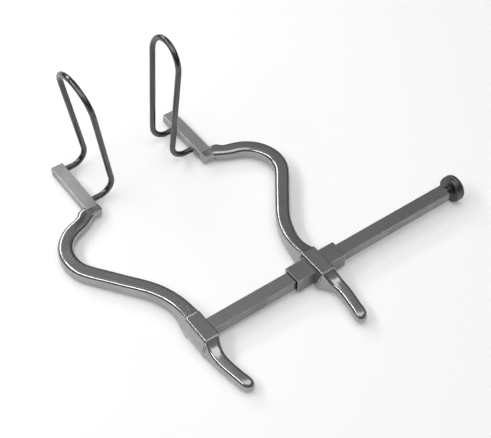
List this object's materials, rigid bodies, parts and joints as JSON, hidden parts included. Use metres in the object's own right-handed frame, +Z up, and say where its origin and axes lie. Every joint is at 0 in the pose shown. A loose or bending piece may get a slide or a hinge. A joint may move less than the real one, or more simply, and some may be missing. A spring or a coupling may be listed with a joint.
{
  "type": "self-retaining retractor",
  "caption": "Two-armed self-retaining retractor: S-curved arms with wire-loop blades and finger handles, one arm fixed and one sliding along a flat rail that ends in a round stop knob.",
  "frame": {"origin": "on the underside of the fixed arm's boss, in its middle, straight below the rail's centre line", "axes": "+X along the rail from the fixed arm to the end knob, +Y from the finger handles towards the blades, +Z up along the wire loops, as the instrument lies on a table with its blades up"},
  "size_m": [0.2343, 0.2117, 0.0944],
  "materials": {
    "rail_satin_steel": "satin, drawn lengthwise",
    "arm_polished_steel": "polished forging",
    "sleeve_satin_steel": "satin",
    "bar_satin_steel": "fine matt",
    "wire_steel": "bright drawn wire",
    "knob_steel": "turned, dull"
  },
  "bodies": {
    "fixed_side": {"rail_bar": "rail_satin_steel", "fixed_arm": "arm_polished_steel", "fixed_blade_bar": "bar_satin_steel", "fixed_wire_blade": "wire_steel", "end_knob": "knob_steel"},
    "sliding_side": {"sliding_arm": "arm_polished_steel", "slider_sleeve": "sleeve_satin_steel", "sliding_blade_bar": "bar_satin_steel", "sliding_wire_blade": "wire_steel"}
  },
  "joints": [
    {"name": "arm_slide", "type": "slide", "parent": "fixed_side", "child": "sliding_side", "axis": [1, 0, 0], "range_m": [-0.0395, 0.0891]}
  ]
}
